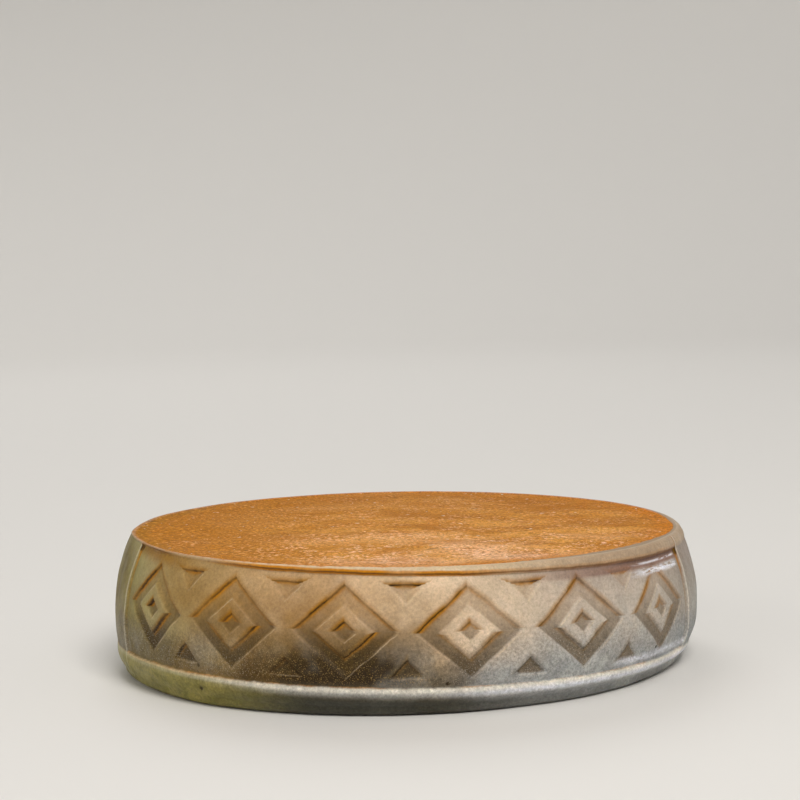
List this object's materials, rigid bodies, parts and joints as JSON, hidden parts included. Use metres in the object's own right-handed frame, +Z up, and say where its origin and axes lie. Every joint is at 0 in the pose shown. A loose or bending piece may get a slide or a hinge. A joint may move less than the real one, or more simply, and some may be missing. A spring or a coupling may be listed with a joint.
{
  "type": "goat cheese wheel",
  "caption": "Whole round wheel of semi-hard goat cheese with a washed rind, bellied sides, a pale lip and two long pressed side panels with a lozenge frieze.",
  "frame": {"origin": "middle of the flat base that the wheel rests on", "axes": "+Z up through the wheel, -Y towards the middle of the front pressed panel, +X to its right"},
  "size_m": [0.28, 0.2774, 0.0661],
  "materials": {
    "rind": "washed rind: tan to orange-brown top face, pale beige side with a satin, slightly moist surface"
  },
  "bodies": {
    "root": {"cheese_wheel": "rind"}
  },
  "joints": []
}
